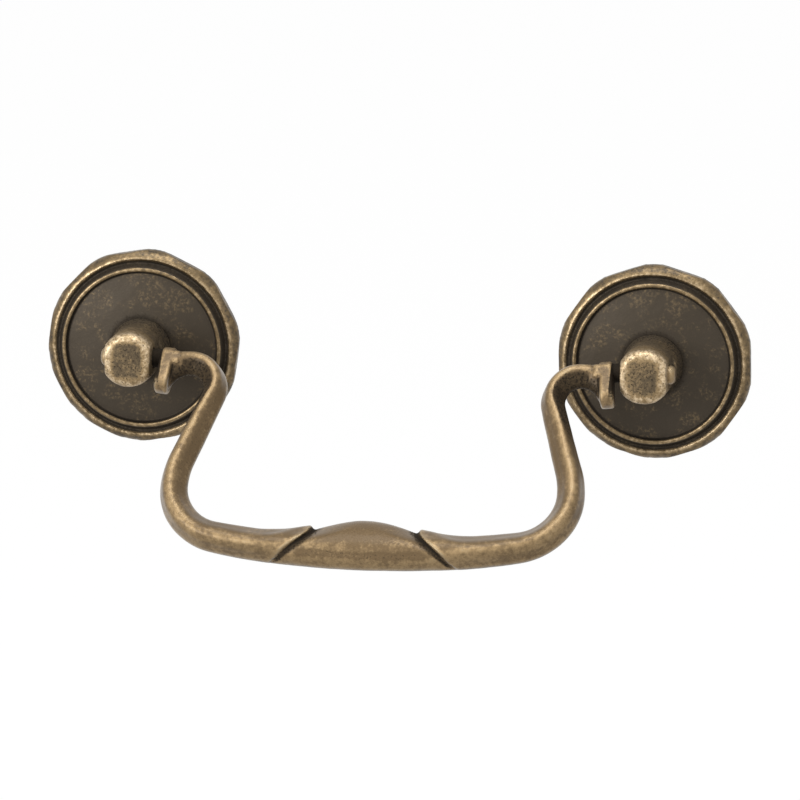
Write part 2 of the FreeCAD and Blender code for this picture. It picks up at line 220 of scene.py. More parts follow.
rosette = {
    "centre": 38.1, "steps": 180,
    "hole": 3.08, "hollowInner": 5.2, "hollowOuter": 12.3, "hollowDepth": 1.0,
    "edge": (14.55, 0.6), "rim": (13.2, 2.1), "rimBend": 1.9, "rimSteps": 8,  # radius and height
    "cove": (12.5, 1.6),
    "beadOuter": 12.02, "beadInner": 11.26, "beadFoot": 2.5, "beadBend": 0.383, "beadSteps": 10,
    "fieldFoot": 2.15, "seat": (4.8, 3.0), "crown": 85, "crownSteps": 12,
    "flats": 14.1, "facets": 10, "turn": {"left": -8, "right": 1},
    "cornerReach": 14.42, "cornerBlend": 9, "cornerBand": (12.9, 14.0), "cornerSlack": 0.03,
    "voxel": 0.13, "passes": 3, "unevenness": 0.06, "waveSize": 3.5,
    # where the finish changes: heights for the front, radii for the rest
    "frontBand": (0.2, 0.6), "rimBand": (12.75, 13.0), "crestBand": (12.8, 13.05, 13.25, 13.75),
    "beadBand": (11.28, 11.42, 11.86, 12.0), "fieldBand": (11.2, 11.0),
    "coveBand": (11.95, 12.1, 12.82, 12.98), "lineBand": (10.95, 11.1, 11.25, 11.4), "seatBand": (5.8, 4.6),
    "bulgePasses": 10, "bulgeLimits": (-0.05, 0.1),
    "finish": {
        "wear": {"field": 0.07, "rim": 0.47, "crest": 0.3, "bead": 0.55, "bulge": 2.2},
        # hollow: the cove and the line at the foot of the bead are darkened with dirt and painted shade, and
        # the seat round the post with painted shade
        "hollow": {"cove": 0.5, "line": 0.8, "seat": 0.5},
    },
}


def roundCorners(piece, side, sign):
    # the corners between the facets are rubbed round
    r = rosette
    places = readSkin(piece)[0]
    out = places[:, [0, 2]] - (sign * r["centre"], 0)
    radius = np.hypot(*out.T)
    half = math.pi / r["facets"]
    off = (np.arctan2(out[:, 1], out[:, 0]) - math.radians(r["turn"][side]) + half) % (2 * half) - half
    sharp = np.minimum(r["flats"] / np.cos(off), r["edge"][0])
    blend = r["cornerBlend"]
    soft = -np.logaddexp(-blend * r["flats"] / np.cos(off), -blend * r["cornerReach"]) / blend
    rub = 1 + (soft / sharp - 1) * band(r["cornerBand"], radius)
    rub = np.minimum(rub, (soft + r["cornerSlack"]) / np.maximum(radius, 1))
    places[:, [0, 2]] = out * rub[:, None] + (sign * r["centre"], 0)
    places[:, 1] = np.minimum(places[:, 1], 0)
    piece.data.vertices.foreach_set("co", (places * mm).ravel())
    piece.data.update()


def wearRosette(piece, sign):
    r = rosette
    places, normals, edges = readSkin(piece)
    radius = np.hypot(places[:, 0] - sign * r["centre"], places[:, 2])
    front = band(r["frontBand"], -places[:, 1])
    masks = {
        "rim": band(r["rimBand"], radius) * front,
        "crest": band(r["crestBand"], radius),
        "bead": band(r["beadBand"], radius),
        "field": band(r["fieldBand"], radius),
        "cove": band(r["coveBand"], radius) * front,
        "line": band(r["lineBand"], radius),
        "seat": band(r["seatBand"], radius) * front,
        "bulge": np.clip(bulges(places, normals, edges, r["bulgePasses"]), *r["bulgeLimits"]),
    }
    keepMasks(piece, masks, r["finish"])


def makeRosette(side, sign):
    r = rosette
    centre = sign * r["centre"] * mm
    corners = [(r["hole"], 0), (r["hollowInner"], 0), (r["hollowInner"], r["hollowDepth"]),
               (r["hollowOuter"], r["hollowDepth"]), (r["hollowOuter"], 0), (r["edge"][0], 0), r["edge"]]
    corners += arcPoints(r["edge"], r["rim"], r["rimBend"], -1, r["rimSteps"])
    corners += [r["cove"], (r["beadOuter"], r["beadFoot"])]
    corners += arcPoints(corners[-1], (r["beadInner"], r["beadFoot"]), r["beadBend"], -1, r["beadSteps"])
    corners += [(r["beadInner"], r["fieldFoot"])]
    corners += arcPoints(corners[-1], r["seat"], r["crown"], -1, r["crownSteps"])
    corners += [(r["hole"], r["seat"][1]), corners[0]]
    piece = turnPiece(side + "RosetteCast", corners, centre, r["steps"])
    bpy.ops.object.mode_set(mode="EDIT")
    for number in range(r["facets"]):
        angle = math.radians(r["turn"][side] + 360 * number / r["facets"])
        outward = Vector((math.cos(angle), 0, math.sin(angle)))
        place = Vector((centre, 0, 0)) + outward * r["flats"] * mm
        bpy.ops.mesh.select_all(action="SELECT")
        bpy.ops.mesh.bisect(plane_co=place, plane_no=outward, use_fill=True, clear_outer=True)
    bpy.ops.object.mode_set(mode="OBJECT")
    softCast(piece, r["voxel"], r["passes"])
    addWaviness(piece, r["unevenness"], r["waveSize"])
    finishSkin(piece)
    roundCorners(piece, side, sign)
    wearRosette(piece, sign)
    return piece


# posts

post = {
    "centre": 38.1, "steps": 128,
    "spigot": 3.0, "setback": 0.3, "screw": 1.73, "screwDepth": 6.8,
    "collar": 4.45, "seat": 3.0, "collarEdge": 0.45, "flankBend": 5.5, "flankSteps": 8,
    "head": 4.05, "shoulder": 6.6, "front": 13.3, "frontBend": 1.1, "frontSteps": 6,
    "flats": 3.4, "cutter": (4, 10, 12), "pinHeight": 10.0, "pinHole": 1.48, "drill": 12,
    "voxel": 0.1, "passes": 4, "headPasses": 45, "unevenness": 0.14, "waveSize": 2.2,
    "headBand": (5.8, 7.2), "holeBand": (1.6, 2.3),  # the head is rubbed round, but not the pin's hole
    # where the finish changes: heights, and shares of the half face for its dark middle
    "faceHalf": (2.5, 3.0), "faceSquareness": 4, "middleBand": (1.08, 0.66), "faceBand": (12.5, 13.0),
    "wornBand": (8.0, 12.0), "footBand": (6.5, 3.4),
    "bulgePasses": 14, "bulgeLimits": (-0.05, 0.12), "dentBand": (0.01, 0.06),
    "finish": {
        "wear": {"all": 0.15, "worn": 0.63, "middle": -0.5, "bulge": 3},
        # hollow: dents are darkened with dirt and painted shade, the flank down to the collar with painted
        # shade, and the face's middle with its patina
        "hollow": {"dent": 1, "foot": 0.5, "middle": 0.12},
    },
}


def cutWith(piece, cutter):
    cut = piece.modifiers.new("cut", "BOOLEAN")
    cut.operation = "DIFFERENCE"
    cut.solver = "EXACT"
    cut.object = cutter
    applyModifiers(piece)
    bpy.data.objects.remove(cutter)


def wearPost(piece, sign):
    p = post
    places, normals, edges = readSkin(piece)
    fine = bulges(places, normals, edges, p["bulgePasses"])
    height = -places[:, 1]
    across = np.abs(places[:, 0] - sign * p["centre"])
    power = p["faceSquareness"]
    square = (across / p["faceHalf"][0]) ** power + (places[:, 2] / p["faceHalf"][1]) ** power
    masks = {
        "all": 1,
        "worn": band(p["wornBand"], height),
        "middle": band(p["middleBand"], square ** (1 / power)) * band(p["faceBand"], height),
        "bulge": np.clip(fine, *p["bulgeLimits"]),
        "dent": band(p["dentBand"], -fine),
        "foot": band(p["footBand"], height),
    }
    keepMasks(piece, masks, p["finish"])


def makePost(side, sign):
    p = post
    centre = sign * p["centre"] * mm
    corners = [(0, p["screwDepth"]), (p["screw"], p["screwDepth"]), (p["screw"], p["setback"]),
               (p["spigot"], p["setback"]), (p["spigot"], p["seat"]), (p["collar"], p["seat"]),
               (p["collar"], p["seat"] + p["collarEdge"])]
    corners += arcPoints(corners[-1], (p["head"], p["shoulder"]), p["flankBend"], 1, p["flankSteps"])
    corners += [(p["head"], p["front"] - p["frontBend"])]
    frontEdge = (p["head"] - p["frontBend"], p["front"])
    corners += arcPoints(corners[-1], frontEdge, p["frontBend"], -1, p["frontSteps"])
    corners += [(0, p["front"])]
    piece = turnPiece(side + "PostCast", corners, centre, p["steps"])
    wide, long, _ = p["cutter"]
    for direction in (-1, 1):
        place = (sign * p["centre"] + direction * (p["flats"] + wide / 2), -(p["shoulder"] + long / 2), 0)
        cutWith(piece, makeBlock("flatCutter", p["cutter"], place))
    pickNothing()
    bpy.ops.mesh.primitive_cylinder_add(vertices=64, radius=p["pinHole"] * mm, depth=p["drill"] * mm,
                                        rotation=(0, math.pi / 2, 0),
                                        location=(centre, -p["pinHeight"] * mm, 0))
    drill = bpy.context.object
    settle(drill)
    cutWith(piece, drill)
    softCast(piece, p["voxel"], p["passes"])
    finishSkin(piece)
    places = readSkin(piece)[0]
    offHole = np.hypot(places[:, 1] + p["pinHeight"], places[:, 2])
    share = band(p["headBand"], -places[:, 1]) * band(p["holeBand"], offHole)
    head = smoothWhere(piece, "head", share, p["headPasses"])
    addWaviness(piece, p["unevenness"], p["waveSize"]).vertex_group = head.name
    finishSkin(piece)
    wearPost(piece, sign)
    return piece


# bail

bail = {
    "pinHeight": 10.0, "swing": 40, "footMiddle": 32.35, "hookRun": 3.4,
    "handleDrop": 31.0, "handleSweep": 125, "bellyReach": 29.2, "cornerBend": 8.5, "bellyBend": 13.5,
    "neckBend": 4.0, "neckOffset": 0.75,
    "gripSpacing": 0.11, "armSpacing": 0.3, "hookSpacing": 0.2, "gripMargin": 1.5,
    "handleHalf": 2.3, "handleDepth": 2.15, "neckHalf": 1.7, "neckDepth": 1.7,
    "flare": 3.1, "flarePower": 2.2, "flareDepth": 1.4, "under": 0.12, "underBlend": 5,
    "handleTwist": -18, "armTwist": -12, "neckTwist": 30, "cornerShare": 0.67, "neckLead": 3,
    "corners": 0.11, "plainCorners": 0.5, "crest": 0.07, "crestSpread": 30,
    "gripHalf": 15.0, "swellHalf": 16.5, "swellEnd": 1, "gripRise": 2.85, "gripDepth": 0.24,
    # the leaf edge, straight as it is seen from the photograph's side
    "leafTop": 7.5, "leafBottom": 13.2, "leafHigh": 3.75, "leafLow": -2.1, "leafSlope": 0.74, "facing": 28.4,
    "leafTwist": 70, "leafLead": 1, "leafSoft": 0.06, "tipSoft": 0.3, "tipSoftBand": (1.8, 3.6),
    "tipRound": 0.6, "tipBand": (2.6, 4.3), "gripBlend": (1, -2), "lowBand": (-1.0, -2.3), "lowBlend": 7,
    "leafCut": 0.85, "leafFade": 0.35, "leafWidth": 1.7, "domeWidth": 3.0, "cutPower": 1.5, "climbShort": 1,
    "leafLip": 0.24, "lipFade": 1.1, "lipEnd": 9, "leafDroop": 0.35, "droopBand": (15, 7),
    "frontTurn": (-0.75, -0.25), "frontLow": (-2.9, -1.8),
    "crease": -0.25, "creaseDepth": 0.12, "creaseWidth": 0.45, "creaseBand": (-0.5, -2),
    "footThickness": 2.05, "footDepth": 3.6, "footRise": 1.5, "footDrop": 5.65, "footLean": 7,
    "footCorner": 1.6, "footRounding": 0.45,
    "knob": (3.1, 3.6, 2.5), "knobDrop": 0.72, "knobRounding": 0.7,
    "pinRadius": 1.4, "pinLength": 10.15, "pinRounding": 0.8,
    "rootPasses": 40, "rootReach": (27, 28.5, 30.6, 31.6), "rootHeight": (-6.5, -4),
    "keepReach": (29.6, 30.2), "keepHeight": (-2.4, -1.6),
    "around": 96, "voxel": 0.13, "passes": 3, "unevenness": 0.08, "waveSize": 3.5,
    # where the finish changes, and how much each place adds
    "places": {
        "bulgePasses": 45, "bulgeLevel": 0.045, "bulgeLimits": (-0.04, 0.09), "dentBand": (0.03, 0.15),
        "handleTop": 20, "loopDrop": 17, "frontBand": (-0.2, 0.2), "backBand": (-0.1, 0.5),
        "grooveWidth": 0.5, "grooveGrowth": 0.6, "grooveGrowBand": (-2.6, 2.5),
        "grooveStart": (-1.5, -0.7), "grooveEnd": (0.15, -0.2), "grooveLow": (-2.9, -1.5),
        "lipBand": (-0.05, 0.1, 0.4, 1.0), "lipLow": (-1.5, 0.5),
        "gripBand": (-0.5, -1.5), "domeBand": (-1, -2.5), "creaseSpread": 0.5,
        "lensBand": (0.6, 1.4, 1.8, 2.6), "brow": 2.5, "browSpread": 0.5,
        "gapReach": (33.1, 33.3, 35.0, 35.2), "gapDrop": (6.4, 2.4),
        "knobReach": (29.9, 30.3), "knobDrop": (2.0, 1.5), "knobFront": (0.1, 0.5),
        "shelterTurn": (0.1, 0.55), "shelterFar": (10.5, 6.5), "shelterReach": (32.0, 31.2),
        "footStart": (31.0, 31.5), "footEnd": (33.6, 33.4), "footFront": (0.2, 0.6),
        "underBand": (-0.92, -0.78, -0.55, -0.4), "runPast": (0.8, 2.2), "runDrop": (29, 31),
        "handleRidge": 0.25, "handleRidgeSpread": 0.38, "aboveRidgeBand": (0.5, 0.9, 1.5, 2.0),
        "ridgeForward": 0.966, "ridgeInward": 0.26, "ridgeBand": (0.72, 0.93), "ridgeDrop": (29, 24),
        "outerBand": (-0.35, -0.8), "outerDrop": (23, 27), "innerBand": (0.3, 0.7),
    },
    # in wear, lens and outer add painted light and aboveRidge, under and inner add painted shade; in hollow,
    # the sheltered side, groove, crease, gap, under and inner get painted shade, and dent gets dirt with
    # painted shade
    "finish": {
        "wear": {"all": 0.4, "bulge": 5, "footFront": -0.08, "lip": 0.25, "grip": -0.06, "shelteredAndShaded": -0.5,
                 "back": -0.25, "groove": -0.3, "crease": -0.42, "lens": 0.04, "brow": -0.2, "under": -0.06,
                 "handleRidge": 0.22, "aboveRidge": -0.18, "ridge": 0.14, "outer": 0.28, "inner": -0.04},
        "hollow": {"dent": 1, "shelteredAndShaded": 0.58, "inner": 0.05, "groove": 0.62, "crease": 0.14, "gap": 1,
                   "under": 0.03, "footFront": 0.12},
    },
}


def hookCentre():
    # reach and drop of the middle of the hook's bend
    return bail["footMiddle"] - bail["hookRun"], bail["neckOffset"] + bail["neckBend"]


def bend(reach, drop, radius, first, last, spacing):
    count = max(2, round(abs(radius * (last - first)) / spacing))
    turn = np.linspace(first, last, count, endpoint=False)
    return np.stack((reach + radius * np.sin(turn), drop + radius * np.cos(turn), turn), axis=1)


def run(first, last, facing, spacing):
    count = max(2, round(math.dist(first, last) / spacing))
    share = np.linspace(0, 1, count, endpoint=False)[:, None]
    line = np.array(first) * (1 - share) + np.array(last) * share
    return np.hstack((line, np.full((count, 1), facing)))


def bailLine():
    # reach, drop, facing and way along the right half, from the middle of the handle to the foot
    b = bail
    sweep, corner, belly, neck = b["handleSweep"], b["cornerBend"], b["bellyBend"], b["neckBend"]
    bowCentre = b["handleDrop"] - sweep
    cornerReach = b["bellyReach"] - corner
    bellyDrop = bowCentre + math.sqrt((sweep - corner) ** 2 - cornerReach ** 2)
    cornerStart = math.asin(cornerReach / (sweep - corner))
    hookReach, hookDrop = hookCentre()
    bellyCentre = b["bellyReach"] - belly
    across, down = hookReach - bellyCentre, hookDrop - bellyDrop
    armFacing = math.atan2(across, down) - math.acos((belly + neck) / math.hypot(across, down))
    gripEnd = (b["gripHalf"] + b["gripMargin"]) / sweep
    out = np.array((math.sin(armFacing), math.cos(armFacing)))
    armStart = np.array((bellyCentre, bellyDrop)) + belly * out
    armEnd = np.array((hookReach, hookDrop)) - neck * out
    arch, foot = (hookReach, b["neckOffset"]), (b["footMiddle"], b["neckOffset"])
    parts = [
        bend(0, bowCentre, sweep, 0, gripEnd, b["gripSpacing"]),
        bend(0, bowCentre, sweep, gripEnd, cornerStart, b["armSpacing"]),
        bend(cornerReach, bellyDrop, corner, cornerStart, math.pi / 2, b["armSpacing"]),
        bend(bellyCentre, bellyDrop, belly, math.pi / 2, armFacing, b["armSpacing"]),
        run(armStart, armEnd, armFacing, b["armSpacing"]),
        bend(hookReach, hookDrop, -neck, armFacing, 0, b["hookSpacing"]),
        run(arch, foot, 0, b["hookSpacing"]),
        np.array([(*foot, 0)]),
    ]
    line = np.concatenate(parts)
    way = np.concatenate(([0], np.cumsum(np.hypot(*np.diff(line[:, :2], axis=0).T))))
    marks = np.cumsum([0] + [len(part) for part in parts])
    names = ("middle", "gripEnd", "corner", "belly", "arm", "hook", "arch")
    return line, way, {name: way[mark] for name, mark in zip(names, marks)}


def sectionSpread(angle, twist, crestTwist, plain):
    # a rounded triangle with a crest on its ridge, rounder and without the crest where plain is 1
    b = bail
    off = angle - math.pi / 2 + np.radians(twist)
    crestOff = (angle + np.radians(crestTwist) + math.pi / 2) % (2 * math.pi) - math.pi
    crest = b["crest"] * (1 - plain) * hump(0, math.radians(b["crestSpread"]), crestOff)
    return 1 + b["corners"] * (1 - b["plainCorners"] * plain) * np.cos(3 * off) + crest


def leafSide(reach, height, forward):
    # how far a point lies past the leaf edge, and its height as the photograph shows it
    b = bail
    facing = math.radians(b["facing"])
    seen = height * math.cos(facing) + forward * math.sin(facing)
    fall = (b["leafHigh"] - seen) / (b["leafHigh"] - b["leafLow"])
    past = (reach - b["leafTop"] - (b["leafBottom"] - b["leafTop"]) * fall) * b["leafSlope"]
    return past - b["tipRound"] * band(b["tipBand"], seen) ** 2, seen


def bendGrid(name, x, y, z):
    # a flat grid whose points are moved to the given places, then closed to a rod
    columns, rows = x.shape[0] - 1, x.shape[1] - 1
    pickNothing()
    bpy.ops.mesh.primitive_grid_add(x_subdivisions=columns, y_subdivisions=rows, size=1)
    rod = bpy.context.object
    rod.name = name
    start = np.empty(len(rod.data.vertices) * 3)
    rod.data.vertices.foreach_get("co", start)
    column = np.rint((start[0::3] + 0.5) * columns).astype(int)
    row = np.rint((start[1::3] + 0.5) * rows).astype(int)
    bent = np.stack((x[column, row], y[column, row], z[column, row]), axis=1) * mm
    rod.data.vertices.foreach_set("co", bent.ravel())
    bpy.ops.object.mode_set(mode="EDIT")
    bpy.ops.mesh.select_all(action="SELECT")
    bpy.ops.mesh.remove_doubles(threshold=weld)
    bpy.ops.mesh.fill_holes(sides=0)
    bpy.ops.mesh.select_all(action="SELECT")
    bpy.ops.mesh.normals_make_consistent(inside=False)
    bpy.ops.object.mode_set(mode="OBJECT")
    return rod


def makeRod():
    # sections along the bail's line, with the ridge and the leaf edges in them
    b = bail
    line, way, marks = bailLine()
    line = np.concatenate((line[:0:-1], line))
    side = np.concatenate((-np.ones(len(way) - 1), np.ones(len(way))))[:, None]
    way = np.concatenate((way[:0:-1], way))[:, None]
    reach, drop, facing = line[:, 0:1], line[:, 1:2], line[:, 2:3]
    gripHalf = b["gripHalf"]

    thinning = np.clip((way - gripHalf) / (marks["hook"] - gripHalf), 0, 1)
    half = b["handleHalf"] + (b["neckHalf"] - b["handleHalf"]) * thinning
    depth = b["handleDepth"] + (b["neckDepth"] - b["handleDepth"]) * thinning
    cornerEnd = marks["corner"] + (marks["belly"] - marks["corner"]) * b["cornerShare"]
    twist = b["handleTwist"] + (b["armTwist"] - b["handleTwist"]) * ease(gripHalf, cornerEnd, way)
    neckTurn = ease(marks["hook"] - b["neckLead"], marks["arch"], way)
    twist = twist + (b["neckTwist"] - b["armTwist"]) * neckTurn
    swell = np.clip(1 - (reach / b["swellHalf"]) ** 2, 0, 1) ** 2 * (way < marks["gripEnd"] + b["swellEnd"])
    inner = half + b["gripRise"] * swell
    depth = depth + b["gripDepth"] * swell
    flaring = np.clip((way - marks["arch"]) / b["hookRun"], 0, 1)
    under = ease(marks["corner"] + b["underBlend"], marks["corner"] - b["underBlend"], way)
    outer = half + b["flare"] * flaring ** b["flarePower"] + b["under"] * under
    depth = depth + (b["flareDepth"] - depth) * flaring

    angle = np.linspace(0, 2 * math.pi, b["around"] + 1)[None, :]
    radius = (inner + outer) / 2
    middle = (inner - outer) / 2
    height = middle + radius * np.cos(angle) * sectionSpread(angle, twist, twist, 0)
    # leaf edge: above it the arm runs on as a leaf, below it the grip comes out from under
    past, seen = leafSide(reach, height, depth * np.sin(angle))
    soft = b["leafSoft"] + b["tipSoft"] * band(b["tipSoftBand"], seen)
    onLeaf = ease(-soft, soft, past)
    sweep = ease(gripHalf + b["leafLead"], b["leafTop"] + b["leafLead"], reach) * onLeaf
    leafTwist = twist + (b["leafTwist"] - b["handleTwist"]) * sweep
    onGrip = (1 - onLeaf) * ease(gripHalf + b["gripBlend"][0], gripHalf + b["gripBlend"][1], reach)
    low = band(b["lowBand"], seen)
    onGrip = onGrip * (1 - low) + low * ease(gripHalf + b["lowBlend"], gripHalf - b["lowBlend"], reach)
    spread = sectionSpread(angle, twist, leafTwist, onGrip)
    height = middle + radius * np.cos(angle) * spread
    height = height - b["leafDroop"] * onLeaf * band(b["droopBand"], reach) * np.clip(np.cos(angle), 0, 1)
    forward = depth * np.sin(angle) * spread
    climb = ease(-b["handleHalf"], b["handleHalf"] + b["gripRise"] - b["climbShort"], height)
    width = b["leafWidth"] + b["domeWidth"] * climb ** 2
    cut = b["leafFade"] + (b["leafCut"] - b["leafFade"]) * climb
    cut = cut * np.clip(1 + past / width, 0, 1) ** b["cutPower"]
    lip = b["leafLip"] * np.exp(-np.clip(past, 0, b["lipEnd"]) / b["lipFade"]) * np.sin(angle) * climb
    crease = b["creaseDepth"] * hump(b["crease"], b["creaseWidth"], seen) * band(b["creaseBand"], past)
    inFront = band(b["frontTurn"], np.sin(angle)) * band(b["frontLow"], seen)
    inFront = inFront * (reach < gripHalf + b["leafLead"])
    lift = (lip * onLeaf - (cut + crease) * (1 - onLeaf)) * inFront
    slant = np.hypot(np.cos(angle) / radius, np.sin(angle) / depth)
    height = height + lift * np.cos(angle) / radius / slant
    forward = forward + lift * np.sin(angle) / depth / slant
    x = side * (reach - np.sin(facing) * height)
    z = -drop + np.cos(facing) * height
    return bendGrid("bailCast", x, -forward, z)


def makeFoot(sign):
    b = bail
    foot = makeBlock("footPlate", (b["footThickness"], b["footDepth"], b["footRise"] + b["footDrop"]))
    through = b["footThickness"] / 4 * mm
    bpy.ops.object.mode_set(mode="EDIT")
    pickEdges(foot, lambda first, last: abs(first.x - last.x) > through)  # the edges through the plate
    bpy.ops.mesh.bevel(offset=b["footCorner"] * mm, segments=8, affect="EDGES")
    pickEdges(foot, lambda first, last: abs(first.x - last.x) < hair * mm)  # the outlines of its two faces
    bpy.ops.mesh.bevel(offset=b["footRounding"] * mm, segments=4, affect="EDGES")
    bpy.ops.object.mode_set(mode="OBJECT")
    foot.location.z = (b["footRise"] - b["footDrop"]) / 2 * mm
    settle(foot)
    foot.rotation_euler.y = -sign * math.radians(b["footLean"])
    foot.location.x = sign * b["footMiddle"] * mm
    settle(foot)
    return foot


def makeKnob(sign):
    # the thick end of the hook on the top of the foot
    b = bail
    knob = makeBlock("footKnob", b["knob"])
    long, _, high = b["knob"]
    bpy.ops.object.mode_set(mode="EDIT")
    bpy.ops.mesh.select_all(action="SELECT")
    bpy.ops.mesh.bevel(offset=b["knobRounding"] * mm, segments=5, affect="EDGES")
    bpy.ops.object.mode_set(mode="OBJECT")
    knob.rotation_euler.y = -sign * math.radians(b["footLean"])
    knob.location.x = sign * (b["footMiddle"] + (b["footThickness"] - long) / 2) * mm
    knob.location.z = (b["footRise"] - b["knobDrop"] - high / 2) * mm
    settle(knob)
    return knob


def makePin(sign):
    b = bail
    pickNothing()
    bpy.ops.mesh.primitive_cylinder_add(vertices=64, radius=b["pinRadius"] * mm, depth=b["pinLength"] * mm)
    pin = bpy.context.object
    pin.name = "hingePin"
    bpy.ops.object.mode_set(mode="EDIT")
    pickEdges(pin, lambda first, last: min(first.z, last.z) > 0)  # the rim of its free end
    bpy.ops.mesh.bevel(offset=b["pinRounding"] * mm, segments=5, affect="EDGES")
    bpy.ops.object.mode_set(mode="OBJECT")
    pin.rotation_euler.y = sign * math.pi / 2
    pin.location.x = sign * (b["footMiddle"] + b["pinLength"] / 2) * mm
    settle(pin)
    return pin


def loopSide(places, normals):
    # 1 where the skin faces the inside of the bail's loop, -1 where it faces away
    way = np.stack((-places[:, 0], -places[:, 2] - bail["places"]["loopDrop"]), axis=1)
    return (normals[:, [0, 2]] * way).sum(axis=1) / (np.hypot(*way.T) + hair)


def wearBail(whole):
    b = bail
    f = b["places"]
    places, normals, edges = readSkin(whole)
    broad = bulges(places, normals, edges, f["bulgePasses"])
    reach = np.abs(places[:, 0])
    drop = -places[:, 2]
    front = -normals[:, 1]
    bowDrop = b["handleDrop"] - b["handleSweep"] + np.sqrt(b["handleSweep"] ** 2 - reach ** 2)
    past, seen = leafSide(reach, bowDrop - drop, -places[:, 1])
    inward = loopSide(places, normals)
    back = band(f["backBand"], normals[:, 1])

    # the handle with its grip, its leaf edges and the runs beside them
    low = drop > f["handleTop"]
    onHandle = low * band(f["frontBand"], front)
    grip = band(f["gripBand"], past) * low
    onDome = band(f["domeBand"], past) * onHandle
    onRun = onHandle * band(f["runPast"], past) * band(f["runDrop"], drop)
    grooveWidth = f["grooveWidth"] + f["grooveGrowth"] * band(f["grooveGrowBand"], seen)
    groove = band(f["grooveStart"], past / grooveWidth) * band(f["grooveEnd"], past)

    # the hook with its foot, and the side of the arm that the hook shelters: it keeps its patina and is
    # darkened with painted shade
    hookReach, hookDrop = hookCentre()
    toHook = np.stack((hookReach - reach, drop - hookDrop), axis=1)
    far = np.hypot(*toHook.T)
    facingHook = normals[:, 0] * np.sign(places[:, 0]) * toHook[:, 0] + normals[:, 2] * toHook[:, 1]
    knob = band(f["knobReach"], reach) * band(f["knobDrop"], drop) * band(f["knobFront"], front)
    shelteredAndShaded = band(f["shelterTurn"], facingHook / (far + hair)) * band(f["shelterFar"], far)
    shelteredAndShaded = shelteredAndShaded * band(f["shelterReach"], reach) * (1 - knob)
    footFront = np.maximum(band(f["footStart"], reach), knob) * band(f["footEnd"], reach)
    ridgeTurn = f["ridgeForward"] * front - f["ridgeInward"] * inward

    masks = {
        "all": 1,
        "bulge": np.clip(broad - f["bulgeLevel"], *f["bulgeLimits"]),
        "dent": band(f["dentBand"], -broad),
        "back": back,
        "grip": grip,
        # the groove at the leaf edge keeps its patina and is darkened with painted shadow
        "groove": groove * onHandle * band(f["grooveLow"], seen),
        "lip": band(f["lipBand"], past) * onHandle * band(f["lipLow"], seen),
        # the crease across the dome keeps its patina and is darkened with painted shade
        "crease": hump(b["crease"], f["creaseSpread"], seen) * onDome,
        # painted highlight: the upper band of the dome is made a little lighter
        "lens": band(f["lensBand"], seen) * onDome,
        "brow": hump(f["brow"], f["browSpread"], seen) * onDome,
        "handleRidge": hump(f["handleRidge"], f["handleRidgeSpread"], seen) * onRun,
        # painted shade: a darker band above the handle's ridge
        "aboveRidge": band(f["aboveRidgeBand"], seen) * onRun,
        # painted shade: a darker band on the faces turned half away from the loop
        "under": band(f["underBand"], inward) * (1 - grip) * (1 - back),
        # painted shadow: the pin in the gap between the foot and the post is darkened fully
        "gap": band(f["gapReach"], reach) * band(f["gapDrop"], drop),
        "footFront": footFront * band(f["footFront"], front),
        "shelteredAndShaded": shelteredAndShaded,
        "ridge": band(f["ridgeBand"], ridgeTurn) * band(f["ridgeDrop"], drop) * (1 - shelteredAndShaded),
        # painted light: the handle's outward, lower faces are made lighter, as if lit from below
        "outer": band(f["outerBand"], inward) * (1 - back) * band(f["outerDrop"], drop),
        # painted shade: the faces turned into the loop are made a little darker
        "inner": band(f["innerBand"], inward) * (1 - shelteredAndShaded),
    }
    keepMasks(whole, masks, b["finish"])


def makeBail():
    # made hanging with its pins at the origin, then swung out and moved to the posts
    b = bail
    pieces = [makeRod()]
    for sign in (-1, 1):
        pieces += [makeFoot(sign), makeKnob(sign), makePin(sign)]
    pickNothing()
    for piece in pieces:
        piece.select_set(True)
    whole = pieces[0]
    bpy.context.view_layer.objects.active = whole
    bpy.ops.object.join()
    softCast(whole, b["voxel"], b["passes"])
    addWaviness(whole, b["unevenness"], b["waveSize"])
    finishSkin(whole)

    # the hook flows into its foot, but the knob keeps its corners
    places = readSkin(whole)[0]
    reach = np.abs(places[:, 0])
    share = band(b["rootReach"], reach) * band(b["rootHeight"], places[:, 2])
    share = share * (1 - band(b["keepReach"], reach) * band(b["keepHeight"], places[:, 2]))
    smoothWhere(whole, "root", share, b["rootPasses"])
    finishSkin(whole)
    wearBail(whole)
    whole.rotation_euler.x = -math.radians(b["swing"])
    whole.location.y = -b["pinHeight"] * mm
    settle(whole)
    return whole


rosettes = {side: makeRosette(side, sign) for side, sign in sides}
print("rosettes", {side: len(piece.data.polygons) for side, piece in rosettes.items()})
posts = {side: makePost(side, sign) for side, sign in sides}
print("posts", {side: len(piece.data.polygons) for side, piece in posts.items()})
bailCast = makeBail()
print("bail", len(bailCast.data.polygons))


# finishes

def addNode(tree, kind, **settings):
    node = tree.nodes.new(kind)
    for name, value in settings.items():
        setattr(node, name, value)
    return node


brassGrain = {
    # scale, detail and roughness of each noise
    "mottle": (1500, 4, 0.62), "patch": (320, 3, 0.55), "grit": (5200, 2, 0.6),
    "flecks": (2400, 3, 0.6), "pits": (3300, 2, 0.6),
    "mottleWear": 1.1, "patchWear": 0.6, "gritWear": 0.4,
    "brassBand": (1.2, 1.8), "brightBand": (1.67, 2.07),
    "fleckBand": (0.46, 0.72), "fleckPatch": (0.46, 0.6), "pitBand": (0.5, 0.68),
    # the near-black colour here is dirt and painted shade together
    "grimeAndShadeBand": (0.3, 1.0), "grimeAndShadeMottle": 0.35, "grimeAndShade": (0.024, 0.018, 0.012, 1.0),
    "patinaRoughness": 0.44, "brassRoughness": 0.3, "gritRoughness": 0.14, "grimeAndShadeRoughness": 0.2,
    "brassMetal": 0.95, "gritHeight": 0.5, "patchHeight": 1.2,
}


